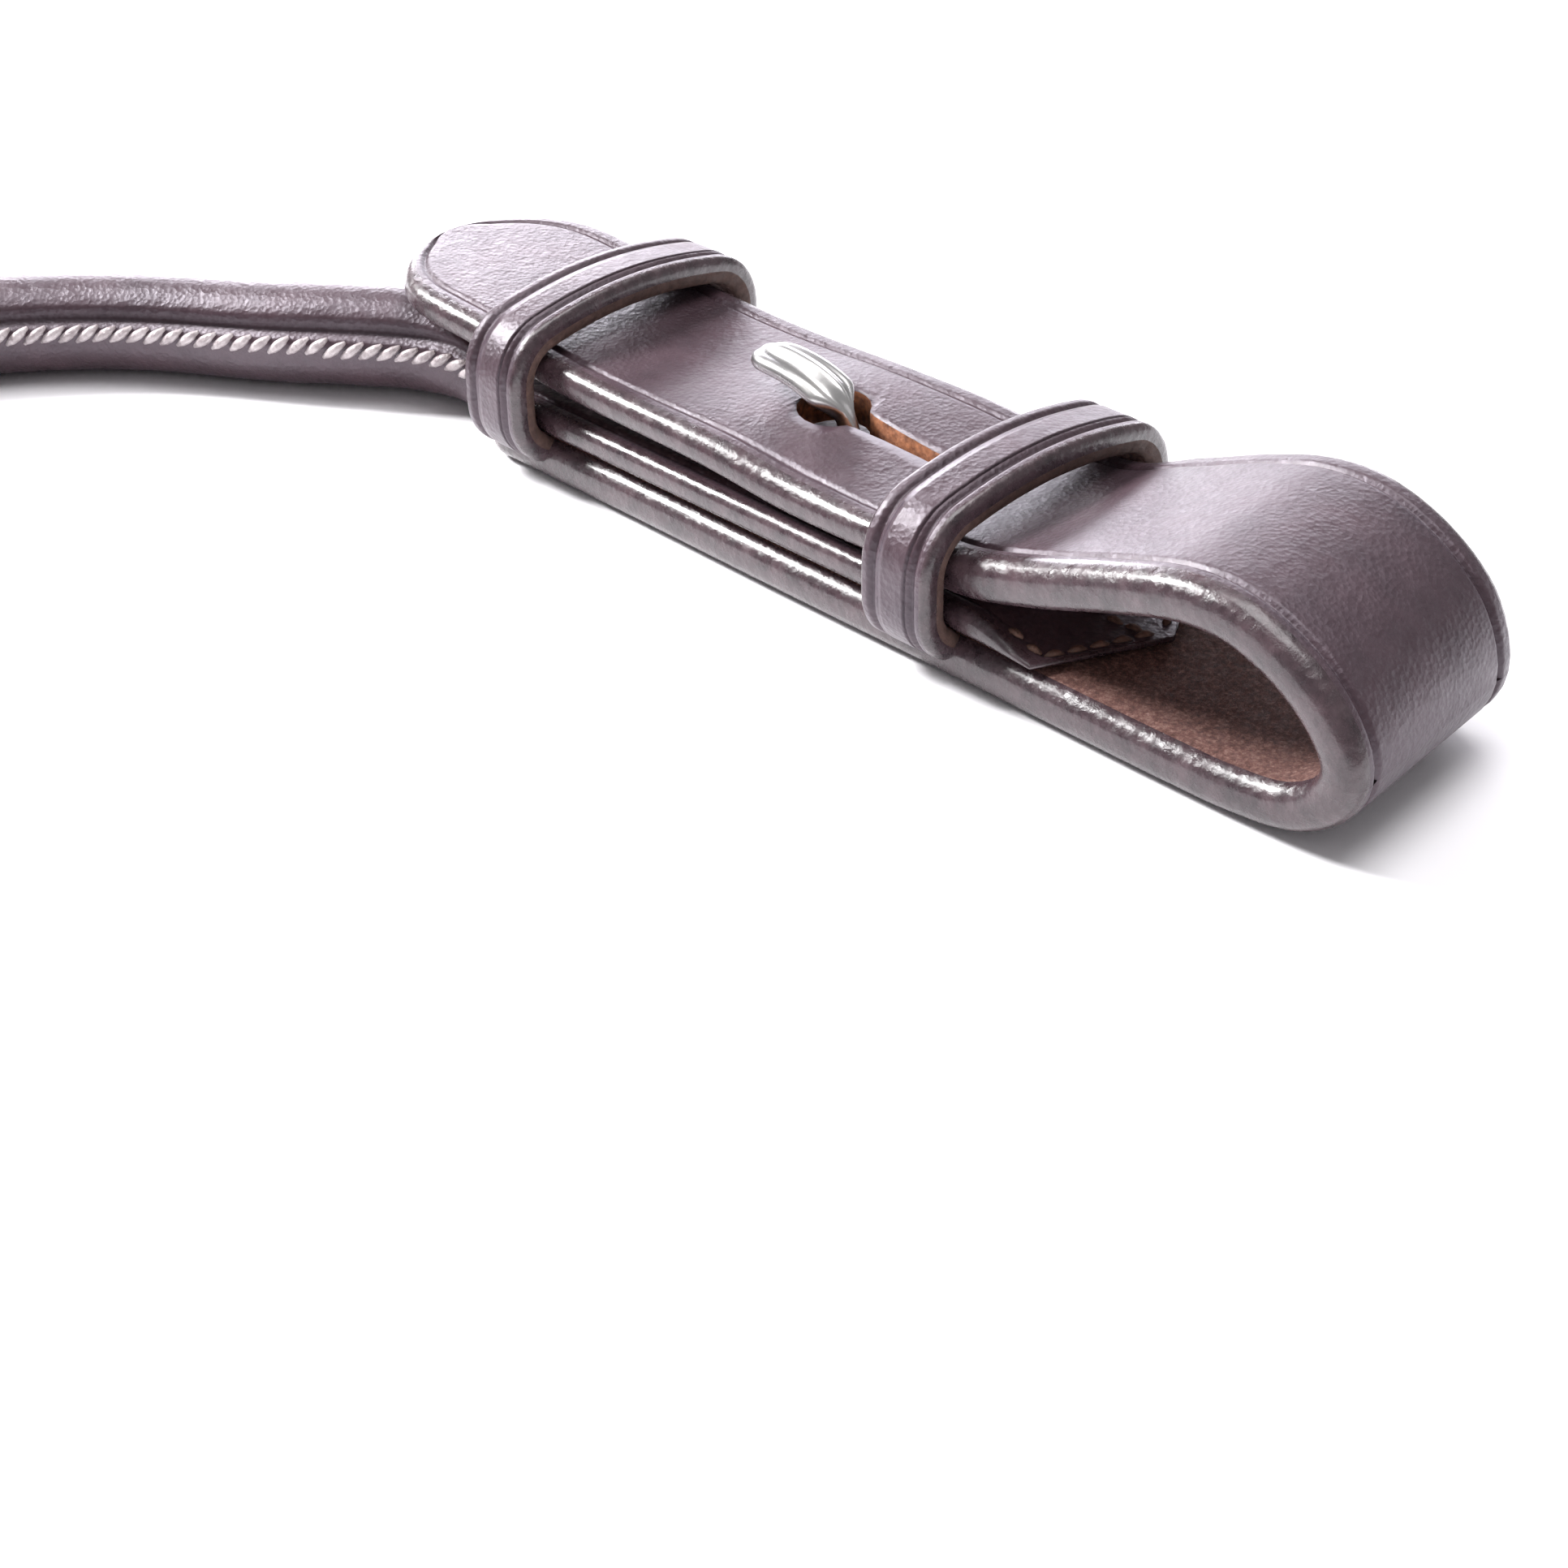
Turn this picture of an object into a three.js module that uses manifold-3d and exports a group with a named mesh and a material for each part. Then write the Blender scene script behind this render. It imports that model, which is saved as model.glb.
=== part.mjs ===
// One half of a pair of rolled leather reins: a hook-stud bit billet, the rolled
// hand part with its spare length wound in a coil, and the flat end with the centre buckle.
// Millimetres, +Z up. The billet lies along X with its bit loop towards +X.
import * as THREE from 'three';
import { mergeVertices } from 'three/addons/utils/BufferGeometryUtils.js';
import Module from 'manifold-3d';

const wasm = await Module();
wasm.setup();

// Driving dimensions of the billet.
const GAP = 0.3;
const STRAP_WIDTH = 19;
const STRAP_THICK = 3.2;
const POINT_THICK = 2.4;
const POINT_WIDTH = 18.2;
const FILLER_THICK = 2;
const FILLER_WIDTH = 18.4;
const KEEPER_WIDTH = 6;
const KEEPER_WALL = 2.1;
const KEEPER_FOOT = 1.7;
const KEEPER_SPAN = 24;
const REIN_KEEPER_X = -27;
const LOOP_KEEPER_X = 13;
const STRAP_START_X = -33;
const POINT_TIP_X = -46.7;
const STUD_X = -2.4;
const HOLE_X = -4.1;
const UNHOOK_TRAVEL = 8;
const LOOP_SWING = 0.105;
const SWING_START_X = 16;
const SWING_END_X = 32;
const FILLER_SHOULDER_X = 22.3;
const FILLER_POINT_X = 27;

// Driving dimensions of the rolled rein, its coil and the hand end.
const ROLL_DIAMETER = 7.5;
const ROLL_RADIUS = ROLL_DIAMETER / 2;
const CORE_RADIUS = 2;
const COIL_CENTRE = new THREE.Vector2(-59, -94);
const OUTER_TURN_RADIUS = 44.8;
const INNER_TURN_RADIUS = OUTER_TURN_RADIUS - ROLL_DIAMETER;
const COIL_HEIGHT = 2 * ROLL_DIAMETER;
const TOP_LEVEL = COIL_HEIGHT + 0.2 + ROLL_RADIUS;
const CROSSING_START_DEG = 160;
const CROSSING_RADIUS = 41;
const TURN_RADIUS = 22;
const TURN_DEG = 110;
const HAND_Y = -109.5;
const HAND_TAPER_START_X = -76.5;
const CHAPE_START_X = -59.7;
const CHAPE_THICK = 2.2;
const CHAPE_BASE_Z = 16;
const CHAPE_GAP = 1.7;
const BAR_X = -27.5;
const BAR_RADIUS = 1.2;
const FOLD_RADIUS = 2.7;
const BUCKLE_LENGTH = 12.8;
const BUCKLE_HALF = 11.6;
const HAND_KEEPER_X = -38;

// Heights that follow from the layers of the billet.
const fillerBase = STRAP_THICK + GAP;
const keeperBase = STRAP_THICK - KEEPER_FOOT;
const keeperTop = 12.3;
const lowerLegZ = CHAPE_BASE_Z + CHAPE_THICK / 2;
const upperLegZ = lowerLegZ + CHAPE_THICK + CHAPE_GAP;
const barZ = (lowerLegZ + upperLegZ) / 2;
const buckleTilt = Math.asin((barZ - COIL_HEIGHT - GAP - BAR_RADIUS) / BUCKLE_LENGTH);

// The centre line of the rolled rein from the throat to the coil, hand-placed.
const leadRoute = [
  [-49.3, -9.6, 4.0], [-51.9, -11.5, 3.9], [-54.6, -13.3, 3.8], [-57.6, -15.2, 3.75],
  [-60.6, -17.3, 3.75], [-63.4, -19.6, 3.75], [-66.0, -22.2, 3.75], [-68.4, -25.1, 3.75],
  [-70.6, -28.2, 3.75], [-72.8, -31.6, 3.75], [-75.0, -35.1, 3.75], [-77.2, -38.6, 3.75],
  [-79.3, -42.0, 3.75], [-80.8, -44.4, 3.75], [-82.3, -46.8, 3.75],
];

// The strap's centre line round the bit loop, as [x, z], from the flat leg back under the keeper.
const loopRoute = [
  [34, 1.6], [38, 1.7], [42.3, 2.4], [45, 4.3], [45.5, 6.4], [44.1, 8.9], [41.2, 11.2],
  [37.2, 12.7], [33.4, 12.7], [28, 11.2], [22, 9.2], [17, 7.9], [13.2, 7.5],
];

// The stud's centre line, as [x, z], from its plate up through the hole and over towards the rein.
const studRoute = [
  [STUD_X, 4.6], [STUD_X, 7.4], [-2.9, 9], [-4, 10.3], [-5.6, 11], [-7.6, 11.4], [-9.6, 11.5],
  [-11.4, 11.4],
];

// The centre line of the return leg, from the loop keeper to its rounded tip.
const pointRoute = [
  [12.9, 7.6], [8.2, 7.65], [3, 7.75], [-1.5, 7.75], [-7.5, 7.95], [-20.5, 8.1], [-34, 9],
  [POINT_TIP_X, 9.6],
];

const materials = {
  leather: { color: 0x4a2f2a, roughness: 0.45, metalness: 0 },
  flesh: { color: 0x6b4236, roughness: 0.9, metalness: 0 },
  metal: { color: 0xc9cbd0, roughness: 0.18, metalness: 1 },
  core: { color: 0x9a7a58, roughness: 0.9, metalness: 0 },
};

const object = new THREE.Group();

// Adds one named sub-part to the object.
function addPart(name, geometry, look) {
  const mesh = new THREE.Mesh(geometry, new THREE.MeshStandardMaterial(materials[look]));
  mesh.name = name;
  object.add(mesh);
}

// Turns a closed geometry into a solid that can be cut and joined.
function solidOf(geometry) {
  const bare = geometry.index ? geometry.toNonIndexed() : geometry.clone();
  bare.deleteAttribute('normal');
  bare.deleteAttribute('uv');
  const joined = mergeVertices(bare, 1e-4);
  return new wasm.Manifold(new wasm.Mesh({
    numProp: 3,
    vertProperties: new Float32Array(joined.attributes.position.array),
    triVerts: new Uint32Array(joined.index.array),
  }));
}

// Turns a solid back into a geometry.
function geometryOf(solid) {
  const mesh = solid.getMesh();
  const geometry = new THREE.BufferGeometry();
  geometry.setAttribute('position', new THREE.BufferAttribute(mesh.vertProperties, 3));
  geometry.setIndex(new THREE.BufferAttribute(mesh.triVerts, 1));
  geometry.computeVertexNormals();
  return geometry;
}

// A box between two corners.
function boxBetween(low, high) {
  const size = high.map((value, i) => value - low[i]);
  const box = new THREE.BoxGeometry(...size);
  box.translate(...low.map((value, i) => value + size[i] / 2));
  return solidOf(box);
}

// Smooth points through a list of [x, z] points.
function smooth(points, count) {
  const knots = points.map(([x, z]) => new THREE.Vector3(x, z, 0));
  const curve = new THREE.CatmullRomCurve3(knots, false, 'centripetal');
  return curve.getSpacedPoints(count).map((p) => [p.x, p.y]);
}

// A strap of even thickness along [x, z] points, extruded across its width and centred on y = 0.
function ribbon(points, thickness, width) {
  const left = [];
  const right = [];
  points.forEach(([x, z], i) => {
    const before = points[Math.max(i - 1, 0)];
    const after = points[Math.min(i + 1, points.length - 1)];
    const along = new THREE.Vector2(after[0] - before[0], after[1] - before[1]).normalize();
    const offset = new THREE.Vector2(-along.y, along.x).multiplyScalar(thickness / 2);
    left.push(new THREE.Vector2(x + offset.x, z + offset.y));
    right.unshift(new THREE.Vector2(x - offset.x, z - offset.y));
  });
  const shape = new THREE.Shape([...left, ...right]);
  return acrossY(new THREE.ExtrudeGeometry(shape, { depth: width, bevelEnabled: false }), width);
}

// Turns an extrusion of an x-z outline so that its depth runs across Y, centred on y = 0.
function acrossY(geometry, width) {
  geometry.rotateX(Math.PI / 2);
  geometry.translate(0, width / 2, 0);
  return geometry;
}

// A plan outline in x-y, extruded up from a base height.
function plate(outline, base, thickness) {
  const geometry = new THREE.ExtrudeGeometry(outline, { depth: thickness, bevelEnabled: false });
  geometry.translate(0, 0, base);
  return geometry;
}

// A strap outline in plan with a rounded nose at its -X end.
function nosedOutline(tipX, endX, width, noseLength) {
  const half = width / 2;
  const outline = new THREE.Shape();
  outline.moveTo(endX, -half);
  outline.lineTo(endX, half);
  outline.lineTo(tipX + noseLength, half);
  outline.absellipse(tipX + noseLength, 0, noseLength, half, Math.PI / 2, Math.PI * 1.5, false, 0);
  return outline;
}

// A strap outline in plan with a blunt point at its +X end.
function pointedOutline(startX, shoulderX, tipX, width) {
  const half = width / 2;
  const outline = new THREE.Shape();
  outline.moveTo(startX, -half);
  outline.lineTo(shoulderX, -half);
  outline.lineTo(tipX, -half * 0.3);
  outline.lineTo(tipX, half * 0.3);
  outline.lineTo(shoulderX, half);
  outline.lineTo(startX, half);
  return outline;
}

// Rounded rectangle with a crowned top, as a path in y-z.
function crownedLoop(target, half, base, top, footRadius, shoulderRadius, crown) {
  target.moveTo(0, base);
  target.lineTo(half - footRadius, base);
  target.absarc(half - footRadius, base + footRadius, footRadius, -Math.PI / 2, 0, false);
  target.lineTo(half, top - shoulderRadius);
  target.absarc(half - shoulderRadius, top - shoulderRadius, shoulderRadius, 0, Math.PI * 0.45, false);
  const shoulder = half - shoulderRadius + shoulderRadius * Math.cos(Math.PI * 0.45);
  target.quadraticCurveTo(0, top + crown, -shoulder, top - shoulderRadius * (1 - Math.sin(Math.PI * 0.45)));
  const shoulderY = top - shoulderRadius;
  target.absarc(-half + shoulderRadius, shoulderY, shoulderRadius, Math.PI * 0.55, Math.PI, false);
  target.lineTo(-half, base + footRadius);
  target.absarc(-half + footRadius, base + footRadius, footRadius, Math.PI, Math.PI * 1.5, false);
  target.closePath();
  return target;
}

// A keeper: a band of leather standing round the strap, closed by a thin foot under it.
function keeper(centreX, base, top) {
  const half = KEEPER_SPAN / 2;
  const outline = crownedLoop(new THREE.Shape(), half, base, top, 3.6, 4.4, 1.8);
  const inside = half - KEEPER_WALL;
  const hole = crownedLoop(new THREE.Path(), inside, base + KEEPER_FOOT, top - KEEPER_WALL, 0.9, 1.6, 1.5);
  outline.holes.push(hole);
  const options = { depth: KEEPER_WIDTH, bevelEnabled: false, curveSegments: 6 };
  const geometry = new THREE.ExtrudeGeometry(outline, options);
  geometry.rotateY(Math.PI / 2);
  geometry.rotateX(Math.PI / 2);
  geometry.translate(centreX - KEEPER_WIDTH / 2, 0, 0);
  return geometry;
}

// The loop end of the billet lies a little askew: its far side is drawn back towards the rein.
function swung(geometry) {
  const position = geometry.attributes.position;
  for (let i = 0; i < position.count; i += 1) {
    const x = position.getX(i);
    const reach = THREE.MathUtils.smoothstep(x, SWING_START_X, SWING_END_X);
    position.setX(i, x - LOOP_SWING * reach * (position.getY(i) + STRAP_WIDTH / 2));
  }
  geometry.computeVertexNormals();
  return geometry;
}

// A skin swept along a path, whose oval section changes: halfWidth, halfHeight and squareness by t.
function loft(path, sectionAt, rings) {
  const geometry = new THREE.CylinderGeometry(1, 1, 1, 20, rings);
  const position = geometry.attributes.position;
  const up = new THREE.Vector3(0, 0, 1);
  for (let i = 0; i < position.count; i += 1) {
    const t = 0.5 - position.getY(i);
    const { halfWidth, halfHeight, squareness } = sectionAt(t);
    const across = position.getX(i);
    const rise = position.getZ(i);
    const fill = (value) => {
      if (Math.abs(value) < 1e-6) return 0;
      return Math.sign(value) * Math.abs(value) ** (1 / squareness);
    };
    const tangent = path.getTangentAt(t);
    const side = new THREE.Vector3().crossVectors(tangent, up).normalize();
    const place = path.getPointAt(t);
    place.addScaledVector(side, fill(across) * halfWidth);
    place.addScaledVector(up, fill(rise) * halfHeight);
    position.setXYZ(i, place.x, place.y, place.z);
  }
  return geometryOf(facingOut(solidOf(geometry)));
}

// Mirrored windings are turned so that every face looks outwards.
function facingOut(solid) {
  if (solid.volume() > 0) return solid;
  const mesh = solid.getMesh();
  const turned = mesh.triVerts.slice();
  for (let i = 0; i < turned.length; i += 3) {
    [turned[i], turned[i + 1]] = [turned[i + 1], turned[i]];
  }
  const { vertProperties } = mesh;
  return new wasm.Manifold(new wasm.Mesh({ numProp: 3, vertProperties, triVerts: turned }));
}

// A round or hollow cord along a list of points.
function cordTube(points, radius, bore, steps) {
  const section = new THREE.Shape();
  section.absarc(0, 0, radius, 0, Math.PI * 2, false);
  if (bore > 0) {
    const hole = new THREE.Path();
    hole.absarc(0, 0, bore, 0, Math.PI * 2, false);
    section.holes.push(hole);
  }
  const path = new THREE.CatmullRomCurve3(points.map((p) => new THREE.Vector3(...p)), false, 'centripetal');
  const options = { steps, extrudePath: path, bevelEnabled: false, curveSegments: 10 };
  return new THREE.ExtrudeGeometry(section, options);
}

// The underneath strap with its bit loop, notched where the keepers' feet are sewn in.
function billetStrap() {
  const centre = [[STRAP_START_X, STRAP_THICK / 2], ...smooth(loopRoute, 44)];
  let strap = solidOf(ribbon(centre, STRAP_THICK, STRAP_WIDTH));
  for (const x of [REIN_KEEPER_X, LOOP_KEEPER_X]) {
    const reach = KEEPER_WIDTH / 2 + GAP;
    const low = [x - reach, -STRAP_WIDTH, keeperBase - GAP];
    const notch = boxBetween(low, [x + reach, STRAP_WIDTH, STRAP_THICK + 0.2]);
    strap = strap.subtract(notch);
  }
  return swung(geometryOf(strap));
}

// The return leg: rounded tip, with the hole and slit that the stud hooks through.
function billetPoint() {
  const leg = solidOf(ribbon(smooth(pointRoute, 30), POINT_THICK, STRAP_WIDTH));
  const outline = nosedOutline(POINT_TIP_X, STRAP_WIDTH, POINT_WIDTH, 8.5);
  const trimmed = leg.intersect(solidOf(plate(outline, 0, 20)));
  const slit = new THREE.Shape();
  slit.absarc(HOLE_X, 0, 2.7, Math.PI / 2, Math.PI * 1.5, false);
  slit.absarc(STUD_X + UNHOOK_TRAVEL, 0, 2.2, -Math.PI / 2, Math.PI / 2, false);
  return geometryOf(trimmed.subtract(solidOf(plate(slit, 0, 20))));
}

// The stiffening layer between the legs, with a pocket for the stud's plate.
function billetFiller() {
  const outline = pointedOutline(STRAP_START_X, FILLER_SHOULDER_X, FILLER_POINT_X, FILLER_WIDTH);
  const layer = solidOf(swung(plate(outline, fillerBase, FILLER_THICK)));
  const pocket = boxBetween([STUD_X - 8, -4.5, fillerBase - 0.2], [STUD_X + 8, 4.5, fillerBase + 1.1]);
  const throughHole = boxBetween([STUD_X - 1.4, -2.2, 0], [STUD_X + 1.4, 2.2, 20]);
  return geometryOf(layer.subtract(pocket).subtract(throughHole));
}

// The plate that anchors the stud under the filler.
function studPlate() {
  const plateSolid = boxBetween([STUD_X - 7.6, -4.2, fillerBase], [STUD_X + 7.6, 4.2, fillerBase + 0.8]);
  return geometryOf(plateSolid);
}

// The hook: a neck through the leather that curls over towards the rein.
function studHook() {
  return ribbon(smooth(studRoute, 18), 1.6, 3.6);
}

// The throat: the flat strap closing into the round of the rolled rein.
function reinThroat() {
  const path = new THREE.CatmullRomCurve3([
    new THREE.Vector3(STRAP_START_X - GAP, 0, 1.75), new THREE.Vector3(-35.5, 0, 2.0),
    new THREE.Vector3(-39.6, -2.1, 3.3), new THREE.Vector3(-44.2, -5.7, 3.85),
    new THREE.Vector3(-49.1, -9.45, 3.9),
  ]);
  return loft(path, (t) => {
    const ease = THREE.MathUtils.smoothstep(t, 0, 0.75);
    return {
      halfWidth: 9.4 + (4 - 9.4) * ease,
      halfHeight: 1.6 + (3.75 - 1.6) * ease,
      squareness: 3 + (1 - 3) * ease,
    };
  }, 10);
}

// One closed ring that the coiled turns fill.
function reinCoil() {
  const low = INNER_TURN_RADIUS - ROLL_RADIUS;
  const high = OUTER_TURN_RADIUS + ROLL_RADIUS;
  const soft = 2.5;
  const profile = [
    [low + soft, 0], [high - soft, 0], [high, soft], [high, COIL_HEIGHT - soft],
    [high - soft, COIL_HEIGHT], [low + soft, COIL_HEIGHT], [low, COIL_HEIGHT - soft], [low, soft],
    [low + soft, 0],
  ].map(([r, z]) => new THREE.Vector2(r, z));
  const ring = new THREE.LatheGeometry(profile, 56);
  ring.rotateX(Math.PI / 2);
  ring.translate(COIL_CENTRE.x, COIL_CENTRE.y, 0);
  return geometryOf(facingOut(solidOf(ring)));
}

// The rein where it crosses the top of the coil and turns in towards the hand end.
function tailRoute() {
  const start = THREE.MathUtils.degToRad(CROSSING_START_DEG);
  const centre = new THREE.Vector2(Math.cos(start), Math.sin(start));
  centre.multiplyScalar(CROSSING_RADIUS - TURN_RADIUS).add(COIL_CENTRE);
  const points = [];
  for (let i = 0; i <= 12; i += 1) {
    const angle = start + THREE.MathUtils.degToRad(TURN_DEG) * (i / 12);
    const x = centre.x + TURN_RADIUS * Math.cos(angle);
    const y = centre.y + TURN_RADIUS * Math.sin(angle);
    points.push([x, y, TOP_LEVEL]);
  }
  return points;
}

// The round rein closing down to the flat hand end.
function handTaper() {
  const path = new THREE.LineCurve3(
    new THREE.Vector3(HAND_TAPER_START_X, HAND_Y, TOP_LEVEL),
    new THREE.Vector3(CHAPE_START_X - GAP, HAND_Y, barZ),
  );
  return loft(path, (t) => ({
    halfWidth: 3.8 + (9.3 - 3.8) * t,
    halfHeight: 3.7 + (2.9 - 3.7) * t,
    squareness: 1 + 2 * t,
  }), 6);
}

// The chape: one strap folded round the buckle's bar, with a slot for the tongue.
function handChape() {
  const fold = [];
  for (let i = 0; i <= 12; i += 1) {
    const angle = -Math.PI / 2 + Math.PI * (i / 12);
    fold.push([BAR_X + FOLD_RADIUS * Math.cos(angle), barZ + FOLD_RADIUS * Math.sin(angle)]);
  }
  const centre = [
    [CHAPE_START_X, lowerLegZ], [BAR_X - 5, lowerLegZ], ...fold,
    [BAR_X - 5, upperLegZ], [CHAPE_START_X, upperLegZ],
  ];
  const slot = boxBetween([BAR_X - 4, -1.7, 0], [BAR_X + 6, 1.7, 40]);
  const chape = geometryOf(solidOf(ribbon(centre, CHAPE_THICK, STRAP_WIDTH)).subtract(slot));
  chape.translate(0, HAND_Y, 0);
  return chape;
}

// The thin layer that packs the chape out behind its keeper.
function handFiller() {
  const end = HAND_KEEPER_X - KEEPER_WIDTH / 2 - GAP;
  const half = STRAP_WIDTH / 2 - 0.2;
  const base = lowerLegZ + CHAPE_THICK / 2 + GAP;
  const top = base + CHAPE_GAP - 2 * GAP;
  return geometryOf(boxBetween([CHAPE_START_X, HAND_Y - half, base], [end, HAND_Y + half, top]));
}

// The keeper of the hand end, whose foot is sewn between the chape's legs.
function handKeeper() {
  const half = KEEPER_SPAN / 2;
  const base = lowerLegZ + CHAPE_THICK / 2 + GAP;
  const foot = CHAPE_GAP - 2 * GAP;
  const top = base + 9.4;
  const outline = crownedLoop(new THREE.Shape(), half, base, top, 2.4, 4, 1.4);
  outline.holes.push(crownedLoop(new THREE.Path(), half - 1.8, base + foot, top - 1.8, 0.6, 2.2, 1.2));
  const options = { depth: KEEPER_WIDTH, bevelEnabled: false, curveSegments: 6 };
  const geometry = new THREE.ExtrudeGeometry(outline, options);
  geometry.rotateY(Math.PI / 2);
  geometry.rotateX(Math.PI / 2);
  geometry.translate(HAND_KEEPER_X - KEEPER_WIDTH / 2, HAND_Y, 0);
  return geometry;
}

// Puts a piece drawn round the buckle's bar in its place, tilted until the frame rests on the coil.
function onBar(solid) {
  const geometry = geometryOf(solid);
  geometry.rotateY(buckleTilt);
  geometry.translate(BAR_X, HAND_Y, barZ);
  return geometry;
}

// A cylinder along Y through the bar's centre.
function barCylinder(radius, length) {
  return solidOf(new THREE.CylinderGeometry(radius, radius, length, 20));
}

// The buckle's frame: three flat sides and the round bar that the chape holds.
function buckleFrame() {
  const outer = BUCKLE_HALF + BAR_RADIUS;
  const inner = BUCKLE_HALF - BAR_RADIUS;
  const far = BUCKLE_LENGTH + BAR_RADIUS;
  const shape = new THREE.Shape();
  shape.moveTo(-BAR_RADIUS, -outer);
  shape.lineTo(far - 3, -outer);
  shape.absarc(far - 3, -outer + 3, 3, -Math.PI / 2, 0, false);
  shape.lineTo(far, outer - 3);
  shape.absarc(far - 3, outer - 3, 3, 0, Math.PI / 2, false);
  shape.lineTo(-BAR_RADIUS, outer);
  shape.lineTo(-BAR_RADIUS, inner);
  shape.lineTo(far - 2 * BAR_RADIUS, inner);
  shape.lineTo(far - 2 * BAR_RADIUS, -inner);
  shape.lineTo(-BAR_RADIUS, -inner);
  const options = { depth: 2 * BAR_RADIUS, bevelEnabled: false, curveSegments: 5 };
  const sides = new THREE.ExtrudeGeometry(shape, options);
  sides.translate(0, 0, -BAR_RADIUS);
  return onBar(solidOf(sides).add(barCylinder(BAR_RADIUS, 2 * BUCKLE_HALF)));
}

// The tongue: an eye round the bar and a shank that lies on the frame's far side.
function buckleTongue() {
  const width = 2.4;
  const bore = BAR_RADIUS + GAP;
  const rest = BAR_RADIUS + GAP + 0.8;
  const shankRoute = [[1.6, 0.9], [4.5, rest - 0.3], [BUCKLE_LENGTH, rest], [BUCKLE_LENGTH + 1.1, rest]];
  const shank = solidOf(ribbon(smooth(shankRoute, 8), 1.5, width));
  const tongue = barCylinder(bore + 1, width).add(shank).subtract(barCylinder(bore, width + 1));
  return onBar(tongue);
}

addPart('billet_strap', billetStrap(), 'leather');
addPart('billet_point', billetPoint(), 'leather');
addPart('billet_filler', billetFiller(), 'flesh');
addPart('keeper_rein_end', keeper(REIN_KEEPER_X, keeperBase, keeperTop), 'leather');
addPart('keeper_loop_end', keeper(LOOP_KEEPER_X, keeperBase, keeperTop), 'leather');
addPart('stud_plate', studPlate(), 'metal');
addPart('stud_hook', studHook(), 'metal');
addPart('rein_throat', reinThroat(), 'leather');
addPart('rein_roll', cordTube(leadRoute, ROLL_RADIUS, CORE_RADIUS + GAP, 24), 'leather');
addPart('rein_core', cordTube(leadRoute, CORE_RADIUS, 0, 24), 'core');
addPart('rein_coil', reinCoil(), 'leather');
addPart('rein_tail', cordTube(tailRoute(), ROLL_RADIUS, 0, 16), 'leather');
addPart('hand_taper', handTaper(), 'leather');
addPart('hand_chape', handChape(), 'leather');
addPart('hand_filler', handFiller(), 'flesh');
addPart('hand_keeper', handKeeper(), 'leather');
addPart('buckle_frame', buckleFrame(), 'metal');
addPart('buckle_tongue', buckleTongue(), 'metal');

export default object;
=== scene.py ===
"""A rolled leather rein: hook-stud bit billet, stitched round rein in a stored coil, buckled hand end.

Metres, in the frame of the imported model. The billet lies along X with its bit loop towards +X.
"""
import math
import random

import bpy
from mathutils import Matrix, Vector


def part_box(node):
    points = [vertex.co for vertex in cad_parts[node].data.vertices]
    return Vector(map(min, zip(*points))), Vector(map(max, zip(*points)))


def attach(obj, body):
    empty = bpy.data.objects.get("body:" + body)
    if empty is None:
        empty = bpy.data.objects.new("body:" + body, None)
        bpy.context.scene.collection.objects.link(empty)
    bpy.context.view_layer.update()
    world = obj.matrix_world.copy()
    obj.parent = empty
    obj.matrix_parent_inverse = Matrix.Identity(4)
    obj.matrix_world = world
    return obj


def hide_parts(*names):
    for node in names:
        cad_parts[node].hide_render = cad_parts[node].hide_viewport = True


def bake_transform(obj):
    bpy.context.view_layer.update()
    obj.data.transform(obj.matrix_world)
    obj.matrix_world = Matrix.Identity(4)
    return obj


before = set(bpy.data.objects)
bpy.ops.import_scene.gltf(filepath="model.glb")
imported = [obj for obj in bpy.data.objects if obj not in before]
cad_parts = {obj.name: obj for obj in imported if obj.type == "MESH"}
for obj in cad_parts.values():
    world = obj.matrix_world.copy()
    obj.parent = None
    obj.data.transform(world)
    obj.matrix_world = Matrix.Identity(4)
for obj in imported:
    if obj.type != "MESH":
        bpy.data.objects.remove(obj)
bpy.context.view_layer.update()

MM = 0.001
UP = Vector((0, 0, 1))
ACROSS = Vector((0, 1, 0))

# The camera: its direction and roll in degrees, the point it looks at and its distance in metres.
CAMERA_AZIMUTH = 46.47
CAMERA_ELEVATION = 33.09
CAMERA_ROLL = -0.86
CAMERA_TARGET = Vector((0.0168, -0.0251, 0))
CAMERA_DISTANCE = 0.1732
LENS_MM = 65.5
SENSOR_MM = 36

# The straps, in metres: half widths and half thicknesses.
STRAP_HALF = 0.0095
STRAP_HALF_THICK = 0.0016
POINT_HALF = 0.0091
POINT_HALF_THICK = 0.0012
CHAPE_HALF_THICK = 0.0011

# The return leg: its tip, the length of its rounded nose, and how the leather lies around the stud.
POINT_TIP = -0.0457
POINT_NOSE = 0.0088
POINT_RIM = 0.0030
POINT_STEP = 0.0005
NOSE_PARTS = 41
STUD_SWELL = 0.0006
STUD_TWIST = 0.0009
HOLE_X = -0.0041
HOLE_RADIUS = 0.0026

# The loop end lies askew between these two places. LOOP_SWING is the setback for each metre across.
LOOP_SWING = 0.105
LOOP_LIFT = 0.0009
SWING_START_X = 0.016
SWING_END_X = 0.032

# The keepers, in metres: half width, bottom and top, width along the strap, wall, sewn foot and corners.
KEEPER_CROWN = 1.7 * MM
BILLET_KEEPER = {
    "half": 0.012, "base": 0.0015, "top": 0.0123, "width": 0.006, "wall": 0.0021, "foot": 0.0017,
    "radii": (0.0030, 0.0036),
}
HAND_KEEPER = {
    "half": 0.012, "base": 0.0185, "top": 0.0279, "width": 0.006, "wall": 0.0018, "foot": 0.0011,
    "radii": (0.0024, 0.004),
}
REIN_KEEPER_X = -0.027
LOOP_KEEPER_X = 0.013
HAND_KEEPER_X = -0.038

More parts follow.
